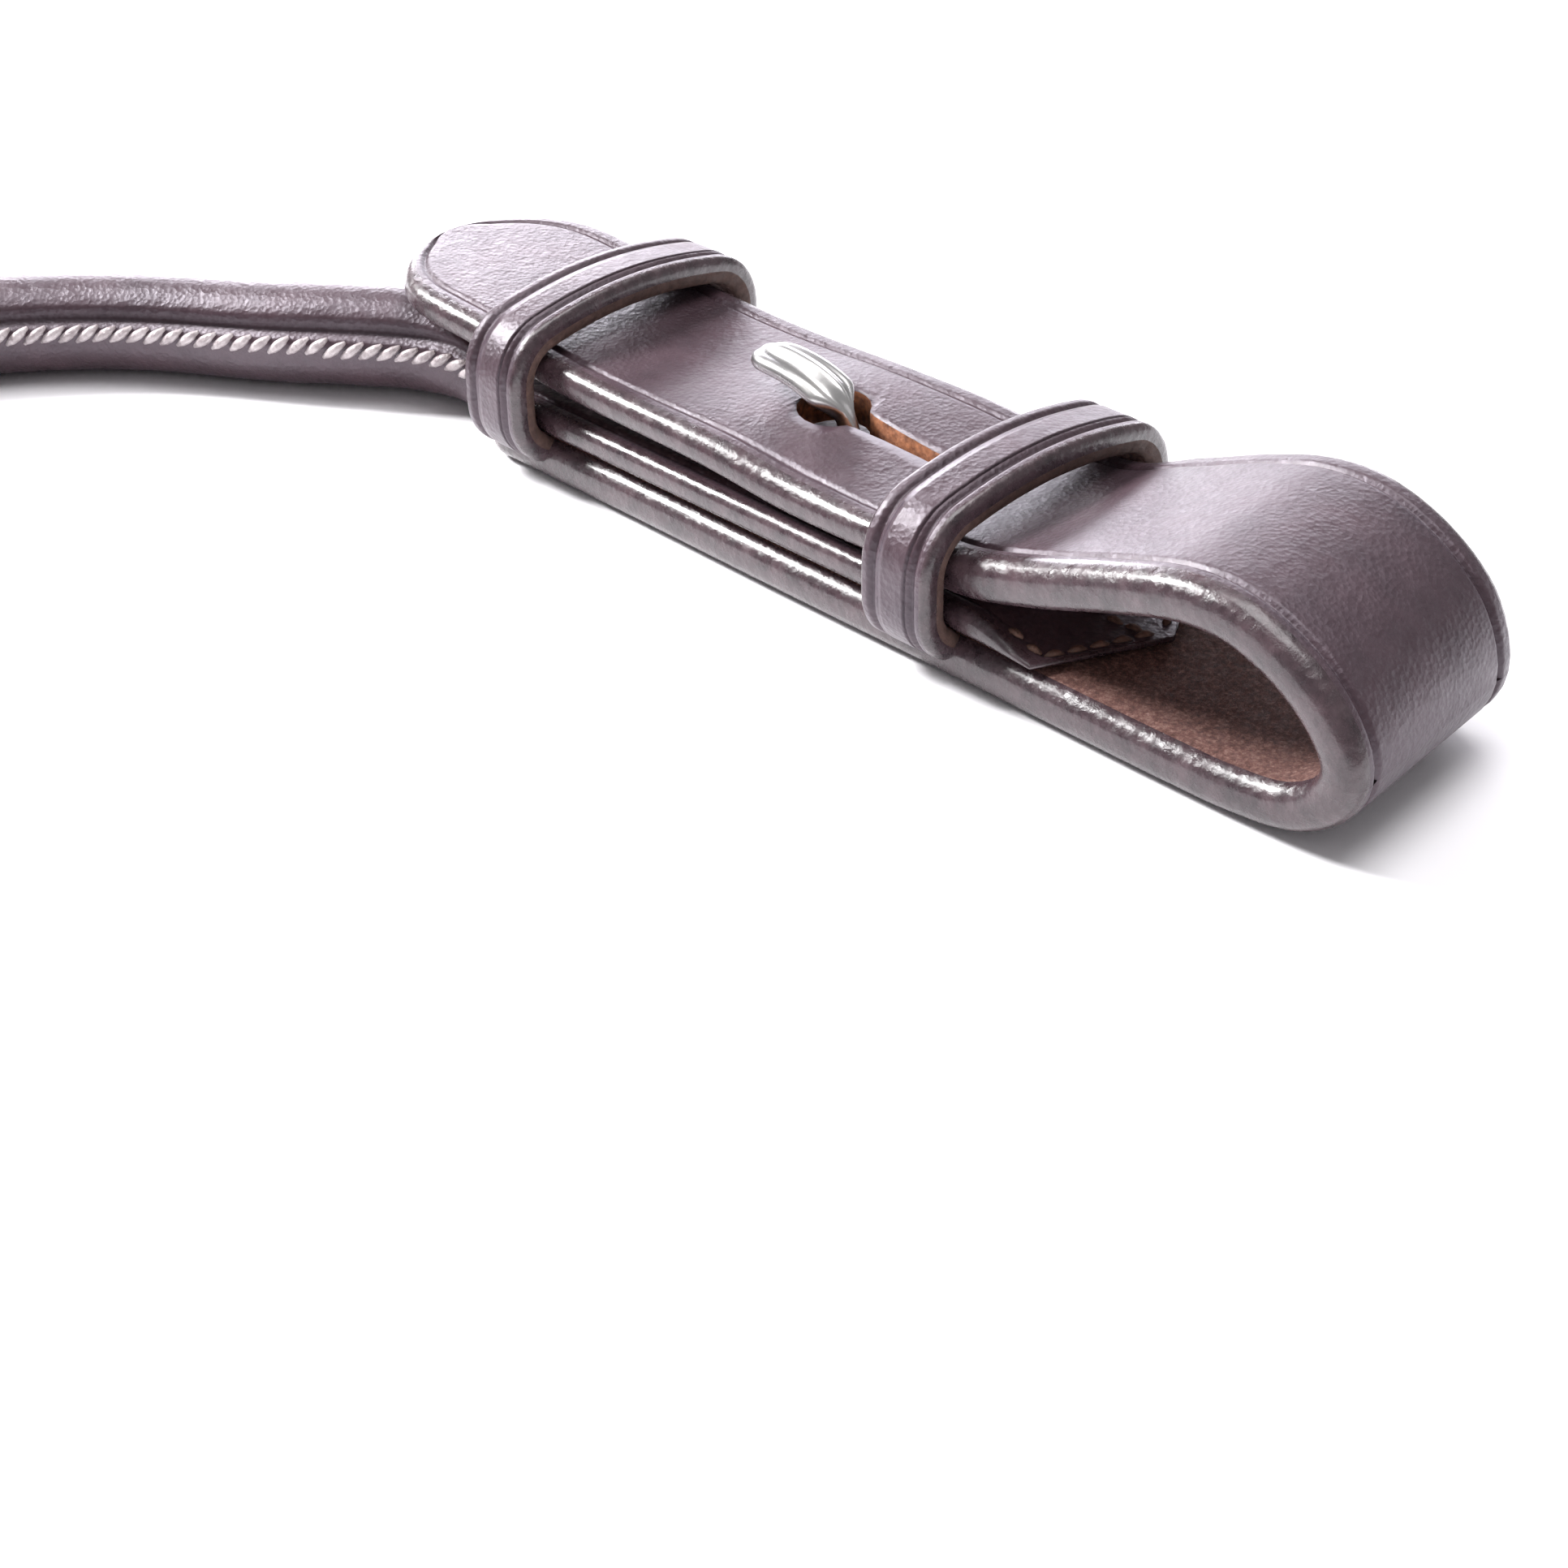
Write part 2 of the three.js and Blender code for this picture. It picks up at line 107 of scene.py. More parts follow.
# The rolled rein and its coil, in metres and degrees.
ROLL_RADIUS = 0.00375
ROLL_SIDES = 56
ROLL_STEP = 0.0016
ROLL_SWELL = 0.0002
ROLL_SWELL_LENGTH = 0.018
COIL_CENTRE = Vector((-0.059, -0.094, 0))
OUTER_TURN = 0.0448
INNER_TURN = OUTER_TURN - 2 * ROLL_RADIUS
LOWER_LEVEL = ROLL_RADIUS
UPPER_LEVEL = 3 * ROLL_RADIUS
TOP_LEVEL = 0.0002 + 5 * ROLL_RADIUS
COIL_TURNS = 4
COIL_START_DEG = 148
COIL_STEP_DEG = 3
SIDE_STEP_DEG = 31
CLIMB_DEG = 50
CROSSING_START_DEG = 160
CROSSING_TURN = 0.041
TAIL_BEND = 0.022
TAIL_BEND_DEG = 110
HAND_Y = -0.1095
BAR = Vector((-0.0275, HAND_Y, 0.01905))

# The seam: its place round the roll, its groove, the lip beside it, and its stitches. The throat
# starts with the two half sizes at the end.
SEAM_ANGLE = math.radians(152)
SEAM_DEPTH = 0.00078
SEAM_SPREAD_DEG = 6.0
LIP_HEIGHT = 0.00018
LIP_DEG = 18
LIP_SPREAD_DEG = 9
STITCH_ANGLE = SEAM_ANGLE + math.radians(19)
STITCH_PITCH = 0.00147
STITCH_LENGTH = 0.0022
STITCH_THICK = 0.00038
STITCH_LIFT = 0.00012
STITCH_RINGS = 5
STITCH_SIDES = 6
THROAT_HALF_WIDTH = 0.0076
THROAT_HALF_HEIGHT = 0.00165

# The rein's centre line from the throat to the coil, in metres.
LEAD_ROUTE = [
    (-0.0493, -0.0096, 0.0040), (-0.0519, -0.0115, 0.0039), (-0.0546, -0.0133, 0.0038),
    (-0.0576, -0.0152, 0.00375), (-0.0606, -0.0173, 0.00375), (-0.0634, -0.0196, 0.00375),
    (-0.0660, -0.0222, 0.00375), (-0.0684, -0.0251, 0.00375), (-0.0706, -0.0282, 0.00375),
    (-0.0728, -0.0316, 0.00375), (-0.0750, -0.0351, 0.00375), (-0.0772, -0.0386, 0.00375),
    (-0.0793, -0.0420, 0.00375), (-0.0808, -0.0444, 0.00375), (-0.0823, -0.0468, 0.00375),
]

# The strap's centre line round the bit loop, as (x, z) in millimetres.
LOOP_ROUTE = [
    (-33, 1.6), (-20, 1.6), (-5, 1.6), (10, 1.6), (24, 1.6), (34, 1.6), (38, 1.7), (42.3, 2.4),
    (45, 4.3), (45.5, 6.4), (44.1, 8.9), (41.2, 11.2), (37.2, 12.7), (33.4, 12.7), (28, 11.2), (22, 9.2),
    (17, 7.9), (13.2, 7.5),
]

# The centre line of the return leg, from inside the loop keeper to its tip, as (x, z) in millimetres.
POINT_ROUTE = [
    (13.2, 7.55), (8.2, 7.65), (3, 7.75), (-1.5, 7.75), (-7.5, 7.95), (-20.5, 8.1), (-34, 9.0),
    (-45.7, 9.6),
]

# The hook stud's centre line, from its plate up through the hole and over, as (x, z) in millimetres.
HOOK_ROUTE = [
    (-2.4, 4.6), (-2.4, 7.4), (-2.9, 9.0), (-4.0, 10.3), (-5.6, 11.0), (-7.6, 11.4), (-9.6, 11.5),
    (-11.4, 11.4),
]


# ---------------------------------------------------------------- camera, light and stage

def add_camera():
    """The photograph's viewing angle: from the loop's side of the billet, 33 degrees above the floor."""
    azimuth = math.radians(CAMERA_AZIMUTH)
    elevation = math.radians(CAMERA_ELEVATION)
    roll = math.radians(CAMERA_ROLL)
    back = Vector((
        math.sin(azimuth) * math.cos(elevation),
        -math.cos(azimuth) * math.cos(elevation),
        math.sin(elevation),
    ))
    level = Vector((math.cos(azimuth), math.sin(azimuth), 0))
    above = back.cross(level)
    right = level * math.cos(roll) + above * math.sin(roll)
    up = -level * math.sin(roll) + above * math.cos(roll)
    place = CAMERA_TARGET + back * CAMERA_DISTANCE
    data = bpy.data.cameras.new("camera")
    data.lens = LENS_MM
    data.sensor_width = SENSOR_MM
    data.clip_start = 0.005
    camera = bpy.data.objects.new("camera", data)
    camera.matrix_world = Matrix.Translation(place) @ Matrix((right, up, back)).transposed().to_4x4()
    bpy.context.scene.collection.objects.link(camera)
    bpy.context.scene.camera = camera


def area_light(name, place, target, size, power, color):
    """A rectangular soft light at place, turned towards target."""
    data = bpy.data.lights.new(name, "AREA")
    data.shape = "RECTANGLE"
    data.size, data.size_y = size
    data.energy = power
    data.color = color
    light = bpy.data.objects.new(name, data)
    light.location = place
    light.rotation_euler = (Vector(target) - Vector(place)).to_track_quat("-Z", "Y").to_euler()
    bpy.context.scene.collection.objects.link(light)


def add_lights():
    """A pale surround, a key light from the rein's end, and three soft lights for the highlights."""
    world = bpy.data.worlds.new("studio")
    world.use_nodes = True
    background = world.node_tree.nodes["Background"]
    background.inputs["Color"].default_value = (1.0, 0.99, 1.0, 1)
    background.inputs["Strength"].default_value = 0.38
    bpy.context.scene.world = world
    area_light("key", (-0.42, -0.19, 0.39), (0, 0, 0), (0.16, 0.16), 8.2, (1, 1, 1))
    area_light("low_softbox", (-0.43, 0.23, 0.13), (-0.03, 0, 0.01), (0.16, 0.12), 0.9, (0.95, 0.93, 1))
    area_light("horizon", (-0.42, 0.50, 0.17), (0, 0, 0.01), (0.50, 0.10), 1.7, (0.94, 0.92, 1))
    area_light("top", (0.02, 0.05, 0.60), (0, 0, 0), (0.40, 0.40), 3.0, (1, 0.99, 1))
    bpy.context.scene.view_settings.view_transform = "Standard"


def add_floor():
    """A pale floor just below the part."""
    half = 3.0
    mesh = bpy.data.meshes.new("floor")
    corners = [(-half, -half, 0), (half, -half, 0), (half, half, 0), (-half, half, 0)]
    mesh.from_pydata(corners, [], [(0, 1, 2, 3)])
    floor = bpy.data.objects.new("floor", mesh)
    floor.location.z = -0.0001
    bpy.context.scene.collection.objects.link(floor)
    material = bpy.data.materials.new("floor_paper")
    material.use_nodes = True
    shader = material.node_tree.nodes["Principled BSDF"]
    shader.inputs["Base Color"].default_value = (0.97, 0.96, 0.985, 1)
    shader.inputs["Roughness"].default_value = 0.8
    mesh.materials.append(material)


# ---------------------------------------------------------------- materials

class Nodes:
    """A small helper that adds nodes to one material and links them."""

    def __init__(self, name):
        self.material = bpy.data.materials.new(name)
        self.material.use_nodes = True
        self.tree = self.material.node_tree
        self.shader = self.tree.nodes["Principled BSDF"]
        self.coordinates = self.tree.nodes.new("ShaderNodeTexCoord").outputs["Object"]

    def link(self, source, target):
        self.tree.links.new(source, target)

    def noise(self, scale, detail=4, rough=0.6, distortion=0.0):
        node = self.tree.nodes.new("ShaderNodeTexNoise")
        node.inputs["Scale"].default_value = scale
        node.inputs["Detail"].default_value = detail
        node.inputs["Roughness"].default_value = rough
        node.inputs["Distortion"].default_value = distortion
        self.link(self.coordinates, node.inputs["Vector"])
        return node.outputs["Fac"]

    def cells(self, scale):
        node = self.tree.nodes.new("ShaderNodeTexVoronoi")
        node.inputs["Scale"].default_value = scale
        self.link(self.coordinates, node.inputs["Vector"])
        return node.outputs["Distance"]

    def ramp(self, value, stops):
        node = self.tree.nodes.new("ShaderNodeValToRGB")
        ramp = node.color_ramp
        while len(ramp.elements) < len(stops):
            ramp.elements.new(0.5)
        for element, (place, color) in zip(ramp.elements, stops):
            element.position = place
            element.color = (*color, 1)
        self.link(value, node.inputs["Fac"])
        return node.outputs["Color"]

    def span(self, value, low, high, from_low=0.3, from_high=0.7):
        node = self.tree.nodes.new("ShaderNodeMapRange")
        node.inputs["From Min"].default_value = from_low
        node.inputs["From Max"].default_value = from_high
        node.inputs["To Min"].default_value = low
        node.inputs["To Max"].default_value = high
        self.link(value, node.inputs["Value"])
        return node.outputs["Result"]

    def bump(self, height, distance, strength, before=None):
        node = self.tree.nodes.new("ShaderNodeBump")
        node.inputs["Distance"].default_value = distance
        node.inputs["Strength"].default_value = strength
        self.link(height, node.inputs["Height"])
        if before is not None:
            self.link(before, node.inputs["Normal"])
        return node.outputs["Normal"]

    def finish(self, color, roughness, normal):
        self.link(color, self.shader.inputs["Base Color"])
        self.link(roughness, self.shader.inputs["Roughness"])
        self.link(normal, self.shader.inputs["Normal"])
        return self.material


def grain_leather():
    """The polished grain side: fine pores, faint wrinkles and a waxed surface with a cool bloom."""
    n = Nodes("havana_grain")
    color = n.ramp(n.noise(220, 6), [(0.3, (0.027, 0.013, 0.017)), (0.7, (0.054, 0.029, 0.036))])
    rough = n.span(n.noise(900, 5), 0.30, 0.44)
    pores = n.bump(n.cells(2600), 0.00007, 0.6)
    wrinkles = n.bump(n.noise(900, 8, 0.72, 0.5), 0.00022, 0.4, pores)
    n.shader.inputs["Coat Weight"].default_value = 0.15
    n.shader.inputs["Coat Roughness"].default_value = 0.3
    n.shader.inputs["Specular IOR Level"].default_value = 0.6
    n.shader.inputs["Specular Tint"].default_value = (0.95, 0.88, 1.0, 1)
    n.shader.inputs["Sheen Weight"].default_value = 0.08
    n.shader.inputs["Sheen Roughness"].default_value = 0.45
    n.shader.inputs["Sheen Tint"].default_value = (0.86, 0.78, 1.0, 1)
    return n.finish(color, rough, wrinkles)


def edge_leather():
    """The burnished cut edge: dark purple-brown and waxed, with small dents that glitter."""
    n = Nodes("burnished_edge")
    color = n.ramp(n.noise(700, 7), [(0.3, (0.022, 0.012, 0.016)), (0.75, (0.075, 0.046, 0.054))])
    rough = n.span(n.noise(1300, 6), 0.16, 0.40)
    fibres = n.bump(n.noise(1500, 6, 0.65, 0.6), 0.00012, 0.6)
    dents = n.bump(n.cells(1500), 0.00010, 0.4, fibres)
    n.shader.inputs["Coat Weight"].default_value = 0.45
    n.shader.inputs["Coat Roughness"].default_value = 0.16
    return n.finish(color, rough, dents)


def flesh_leather():
    """The raw flesh side: reddish brown, matt, with short pale fibres."""
    n = Nodes("flesh_side")
    color = n.ramp(
        n.noise(2600, 8, 0.8),
        [(0.32, (0.050, 0.020, 0.017)), (0.5, (0.190, 0.082, 0.066)), (0.72, (0.52, 0.32, 0.27))],
    )
    rough = n.span(n.noise(1200, 4), 0.7, 0.95)
    fibres = n.bump(n.noise(2300, 8, 0.8, 1.5), 0.0004, 0.9)
    return n.finish(color, rough, fibres)


def raw_cut():
    """Leather freshly cut through, as in the stud's hole and slit: tan orange and fibrous."""
    n = Nodes("raw_cut")
    color = n.ramp(n.noise(1800, 7), [(0.3, (0.10, 0.03, 0.012)), (0.7, (0.42, 0.16, 0.07))])
    rough = n.span(n.noise(1000), 0.6, 0.9)
    fibres = n.bump(n.noise(2500, 8, 0.8), 0.0003, 0.8)
    return n.finish(color, rough, fibres)


def raw_edge():
    """The inner half of a keeper's cut edge, left matt brown and fibrous."""
    n = Nodes("raw_edge")
    color = n.ramp(n.noise(1500, 7), [(0.3, (0.060, 0.030, 0.024)), (0.7, (0.135, 0.074, 0.060))])
    rough = n.span(n.noise(1000), 0.55, 0.85)
    fibres = n.bump(n.noise(2300, 8, 0.8), 0.00022, 0.7)
    return n.finish(color, rough, fibres)


def thread_material():
    """The pale waxed thread of the seams, with a twist."""
    n = Nodes("waxed_thread")
    color = n.ramp(n.noise(1500, 4), [(0.3, (0.26, 0.21, 0.22)), (0.7, (0.62, 0.56, 0.57))])
    rough = n.span(n.noise(1600), 0.25, 0.45)
    twist = n.bump(n.noise(4200, 3), 0.0002, 0.7)
    n.shader.inputs["Coat Weight"].default_value = 0.6
    return n.finish(color, rough, twist)


def dark_thread():
    """The dull brown thread inside the loop."""
    n = Nodes("dark_thread")
    color = n.ramp(n.noise(1500, 4), [(0.3, (0.070, 0.034, 0.024)), (0.7, (0.170, 0.090, 0.066))])
    rough = n.span(n.noise(1600), 0.5, 0.8)
    twist = n.bump(n.noise(4200, 3), 0.0002, 0.6)
    return n.finish(color, rough, twist)


def steel():
    """Polished stainless steel with fine handling scratches."""
    n = Nodes("polished_steel")
    n.shader.inputs["Metallic"].default_value = 1
    color = n.ramp(n.noise(300), [(0.3, (0.46, 0.45, 0.46)), (0.7, (0.62, 0.61, 0.60))])
    rough = n.span(n.noise(500, 3), 0.26, 0.36)
    scratches = n.bump(n.noise(1800, 8, 0.8, 2.0), 0.00001, 0.2)
    return n.finish(color, rough, scratches)


GRAIN = grain_leather()
EDGE = edge_leather()
FLESH = flesh_leather()
CUT = raw_cut()
RAW_EDGE = raw_edge()
THREAD = thread_material()
DARK_THREAD = dark_thread()
STEEL = steel()


# ---------------------------------------------------------------- mesh tools

def smooth_points(points, step):
    """Evenly spaced points on a centripetal Catmull-Rom curve through the given points."""
    knots = [Vector(p) for p in points]
    knots = [2 * knots[0] - knots[1], *knots, 2 * knots[-1] - knots[-2]]
    dense = []
    for a, b, c, d in zip(knots, knots[1:], knots[2:], knots[3:]):
        t0 = 0.0
        t1 = t0 + math.sqrt((b - a).length)
        t2 = t1 + math.sqrt((c - b).length)
        t3 = t2 + math.sqrt((d - c).length)
        for i in range(24):
            t = t1 + (t2 - t1) * i / 24
            ab = a * ((t1 - t) / (t1 - t0)) + b * ((t - t0) / (t1 - t0))
            bc = b * ((t2 - t) / (t2 - t1)) + c * ((t - t1) / (t2 - t1))
            cd = c * ((t3 - t) / (t3 - t2)) + d * ((t - t2) / (t3 - t2))
            abc = ab * ((t2 - t) / (t2 - t0)) + bc * ((t - t0) / (t2 - t0))
            bcd = bc * ((t3 - t) / (t3 - t1)) + cd * ((t - t1) / (t3 - t1))
            dense.append(abc * ((t2 - t) / (t2 - t1)) + bcd * ((t - t1) / (t2 - t1)))
    dense.append(knots[-2])
    return spaced(dense, step)


def spaced(dense, step):
    """The same polyline with evenly spaced points, about step apart."""
    lengths = [0.0]
    for a, b in zip(dense, dense[1:]):
        lengths.append(lengths[-1] + (b - a).length)
    count = max(2, round(lengths[-1] / step))
    result = []
    k = 0
    for i in range(count + 1):
        want = lengths[-1] * i / count
        while k < len(lengths) - 2 and lengths[k + 1] < want:
            k += 1
        part = (want - lengths[k]) / max(lengths[k + 1] - lengths[k], 1e-12)
        result.append(dense[k].lerp(dense[k + 1], min(part, 1)))
    return result


def ease(t):
    """Goes smoothly from 0 to 1 as t does, and stays there outside."""
    t = min(max(t, 0), 1)
    return t * t * (3 - 2 * t)


def on_midline(route):
    """Points on the billet's middle plane, in metres, from (x, z) in millimetres."""
    return [(x * MM, 0, z * MM) for x, z in route]


def tangents(points, closed=False):
    """The direction of a polyline at each of its points."""
    last = len(points) - 1
    result = []
    for i in range(len(points)):
        if closed:
            before, after = points[i - 1], points[(i + 1) % len(points)]
        else:
            before, after = points[max(i - 1, 0)], points[min(i + 1, last)]
        result.append((after - before).normalized())
    return result


def build_mesh(name, vertices, faces, face_materials, materials):
    """A smooth-shaded object from vertices and faces, with a material index for each face."""
    mesh = bpy.data.meshes.new(name)
    mesh.from_pydata([tuple(v) for v in vertices], [], faces)
    for material in materials:
        mesh.materials.append(material)
    mesh.polygons.foreach_set("material_index", face_materials)
    mesh.polygons.foreach_set("use_smooth", [True] * len(faces))
    mesh.validate()
    mesh.update()
    piece = bpy.data.objects.new(name, mesh)
    bpy.context.scene.collection.objects.link(piece)
    return piece


def skin(name, rings, ring_materials, materials, closed=False):
    """Joins rings of points into a closed skin. ring_materials holds one index for each side of a ring,
    and the end caps take the highest of them."""
    count = len(rings[0])
    vertices = [p for ring in rings for p in ring]
    faces, chosen = [], []
    for i in range(len(rings) if closed else len(rings) - 1):
        j = (i + 1) % len(rings)
        for k in range(count):
            m = (k + 1) % count
            faces.append((i * count + k, i * count + m, j * count + m, j * count + k))
            chosen.append(ring_materials[k])
    if not closed:
        for ring, flip in ((0, True), (len(rings) - 1, False)):
            centre = len(vertices)
            vertices.append(sum(rings[ring], Vector()) / count)
            for k in range(count):
                a, b = ring * count + k, ring * count + (k + 1) % count
                faces.append((b, a, centre) if flip else (a, b, centre))
                chosen.append(max(ring_materials))
    piece = build_mesh(name, vertices, faces, chosen, materials)
    if not closed:
        sharpen_ends(piece, count, len(rings))
    return piece


def sharpen_ends(piece, count, rings):
    """Keeps the flat end caps out of the sides' shading, so that it runs on to the neighbouring piece."""
    last = (rings - 1) * count
    for edge in piece.data.edges:
        low, high = sorted(edge.vertices)
        if high < count or (low >= last and high < last + count):
            edge.use_edge_sharp = True


def strap_section(half_width, half_thick, round_edge, crease_in=0.0019, crease_deep=0.00032):
    """A strap's cross-section as (across, out, material): grain on top with two creases, edges, flesh below.
    Materials are 0 for grain, 1 for flesh and 2 for the burnished edge."""
    top = []
    crease = half_width - crease_in
    for share in (0, 0.25, 0.5, 0.7):
        top.append((crease * share, half_thick))
    for i in range(9):
        offset = 0.00052 * (i - 4) / 4
        top.append((crease + offset, half_thick - crease_deep * math.exp(-((offset / 0.00022) ** 2))))
    top.append((half_width - round_edge, half_thick - 0.00002))
    side = []
    for i in range(1, 12):
        angle = math.pi / 2 - math.pi * i / 12
        side.append((
            half_width - round_edge + round_edge * math.cos(angle),
            half_thick * math.copysign(abs(math.sin(angle)) ** 0.8, math.sin(angle)),
        ))
    bottom = [(half_width - round_edge, -half_thick)]
    for share in (0.75, 0.5, 0.25):
        bottom.append(((half_width - round_edge) * share, -half_thick))
    right = [(a, b, 0) for a, b in top] + [(a, b, 2) for a, b in side] + [(a, b, 1) for a, b in bottom]
    left = [(-a, b) for a, b, _ in reversed(right[1:])]
    kinds = [1] * 4 + [2] * 11 + [0] * (len(top) - 1)
    section = right + [(0, -half_thick, 1)] + [(a, b, kind) for (a, b), kind in zip(left, kinds)]
    return section


def strap_rings(points, section, normals, width_at=None, thick_at=None):
    """Rings of a strap that follows points, with its grain side along the normals."""
    rings = []
    for i, (point, normal) in enumerate(zip(points, normals)):
        wide = width_at(i) if width_at else 1
        thick = thick_at(i) if thick_at else 1
        rings.append([point + ACROSS * (a * wide) + normal * (b * thick) for a, b, _ in section])
    return rings


def plane_normals(points):
    """Normals in the x-z plane, a quarter turn from the points' direction."""
    return [Vector((t.z, 0, -t.x)) for t in tangents(points)]


def cut(piece, cutter):
    """Takes the cutter's shape out of a piece's mesh, and removes the cutter."""
    modifier = piece.modifiers.new("cut", "BOOLEAN")
    modifier.object = cutter
    modifier.operation = "DIFFERENCE"
    modifier.solver = "EXACT"
    bpy.context.view_layer.update()
    evaluated = piece.evaluated_get(bpy.context.evaluated_depsgraph_get())
    mesh = bpy.data.meshes.new_from_object(evaluated)
    piece.modifiers.clear()
    piece.data = mesh
    bpy.data.objects.remove(cutter)


# ---------------------------------------------------------------- the billet

def wobble(seed, size, count, scale=9.0):
    """A smooth hand-made unevenness for each ring of a strap."""
    draw = random.Random(seed)
    phases = [(draw.uniform(0, 6.3), draw.uniform(0.5, 1.6)) for _ in range(4)]
    result = []
    for i in range(count):
        value = sum(math.sin(p + f * i / scale) for p, f in phases) / 4
        result.append(1 + size * value)
    return result


def swung(point):
    """The loop end of the billet lies a little askew: its far side is drawn back towards the rein,
    and lifted where it is the upper layer."""
    reach = ease((point.x - SWING_START_X) / (SWING_END_X - SWING_START_X))
    from_near = point.y + STRAP_HALF
    upper = ease((point.z - 0.006) / 0.004)
    lift = LOOP_LIFT * from_near / (2 * STRAP_HALF) * upper * ease((point.x - 0.014) / 0.008)
    return Vector((point.x - LOOP_SWING * reach * from_near, point.y, point.z + lift))


def swing_rings(rings):
    return [[swung(p) for p in ring] for ring in rings]


def billet_loop():
    """The underneath strap and its bit loop, in two pieces that meet at the loop's far end; the return side
    is a piece of its own."""
    points = smooth_points(on_midline(LOOP_ROUTE), 0.0007)
    normals = plane_normals(points)
    section = strap_section(STRAP_HALF, STRAP_HALF_THICK, 0.0015, crease_in=0.0023)
    kinds = [kind for _, _, kind in section]
    uneven = wobble(3, 0.006, len(points))
    drawn_in = [1 - 0.20 * ease((-0.0295 - p.x) / 0.0035) for p in points]
    rings = strap_rings(points, section, normals, width_at=lambda i: uneven[i] * drawn_in[i])
    rings = swing_rings(rings)
    turn = max(range(len(points)), key=lambda i: points[i].x)
    lower = skin("billet_underneath", rings[: turn + 1], kinds, [GRAIN, FLESH, EDGE])
    upper = skin("billet_loop_return", rings[turn:], kinds, [GRAIN, FLESH, EDGE])
    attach(lower, "root")
    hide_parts("billet_strap")
    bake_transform(upper)


def point_half_width(x):
    """Half the return leg's width: full along its length, drawn in at the stud, round at the tip."""
    half = POINT_HALF - 0.0003 * math.exp(-(((x + 0.001) / 0.008) ** 2))
    if x < POINT_TIP + POINT_NOSE:
        reach = (POINT_TIP + POINT_NOSE - x) / POINT_NOSE
        half *= math.sqrt(max(1 - min(reach, 1) ** 2.3, 0))
    return half


def height_at(points, x):
    """The height of a route at x, between the points on either side. The route runs towards -X."""
    for before, after in zip(points, points[1:]):
        if before.x >= x >= after.x:
            share = (before.x - x) / (before.x - after.x)
            return before.z + (after.z - before.z) * share
    return points[-1].z


def leg_centres():
    """The return leg's centre line. Round the nose, its points crowd together towards the tip."""
    points = smooth_points(on_midline(POINT_ROUTE), POINT_STEP)
    centres = [p for p in points if p.x > POINT_TIP + POINT_NOSE]
    nose = [p for p in points if p.x <= POINT_TIP + POINT_NOSE + 0.0006]
    for i in range(1, NOSE_PARTS):
        angle = math.pi / 2 * i / NOSE_PARTS
        x = POINT_TIP + POINT_NOSE * (1 - math.sin(angle))
        centres.append(Vector((x, 0, height_at(nose, x))))
    return centres


def leg_ring(point, normal, section):
    """One ring of the return leg. Its rim keeps its shape where the leg narrows, and the leather
    swells and twists a little around the stud."""
    wide = max(point_half_width(point.x), 0.0002)
    rim = min(POINT_RIM, 0.6 * wide)
    swell = STUD_SWELL * math.exp(-(((point.x + 0.004) / 0.007) ** 2))
    fade = min(1, wide / 0.0035)
    ring = []
    for a, b, kind in section:
        away = POINT_HALF - abs(a)
        if away < POINT_RIM:
            across = wide - away * rim / POINT_RIM
        else:
            across = abs(a) * (wide - rim) / (POINT_HALF - POINT_RIM)
        across = math.copysign(across, a)
        if kind == 0 and b < POINT_HALF_THICK:
            b = POINT_HALF_THICK - (POINT_HALF_THICK - b) * fade
        twist = STUD_TWIST * across / STRAP_HALF * math.exp(-(((point.x - 0.001) / 0.009) ** 2))
        rise = swell * max(1 - (across / 0.0090) ** 2, 0) + twist
        ring.append(point + Vector((0, across, rise)) + normal * b)
    return ring


def billet_point():
    """The return leg with its rounded tip, cut through by the stud's hole and slit."""
    centres = leg_centres()
    section = strap_section(
        POINT_HALF, POINT_HALF_THICK, POINT_HALF_THICK, crease_in=0.0020, crease_deep=0.00022,
    )
    rings = [leg_ring(point, normal, section) for point, normal in zip(centres, plane_normals(centres))]
    kinds = [kind for _, _, kind in section]
    piece = skin("billet_return_leg", rings, kinds, [GRAIN, FLESH, EDGE, CUT])
    cut(piece, slit_cutter())
    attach(piece, "point")
    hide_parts("billet_point")


def slit_cutter():
    """The outline of the hole and its slit, as a tall cutter with raw leather walls. The slit clears
    the hook's neck at both ends of the leg's slide, and touches it a little in between."""
    slit = (
        (0.0024, 0.00095), (0.0050, 0.00074), (0.0080, 0.00062),
        (0.0106, 0.00060), (0.0110, 0.00034), (0.0111, 0.00004),
    )
    mouth = 26
    outline = []
    for i in range(19):
        angle = math.radians(mouth + (360 - 2 * mouth) * i / 18)
        outline.append((HOLE_X + HOLE_RADIUS * math.cos(angle), HOLE_RADIUS * math.sin(angle)))
    outline += [(HOLE_X + x + 0.0006, -half) for x, half in slit]
    outline += [(HOLE_X + x + 0.0006, half) for x, half in reversed(slit[:-1])]
    count = len(outline)
    vertices = [(x, y, z) for z in (0.004, 0.013) for x, y in outline]
    faces = [tuple(reversed(range(count))), tuple(range(count, 2 * count))]
    faces += [(k, (k + 1) % count, count + (k + 1) % count, count + k) for k in range(count)]
    return build_mesh("slit_cutter", vertices, faces, [3] * len(faces), [GRAIN, FLESH, EDGE, CUT])


def filler_height(x):
    """How much of the stiffener's thickness is left where it is skived down inside the loop."""
    return 1 - 0.8 * ease((x - 0.0165) / 0.0065)


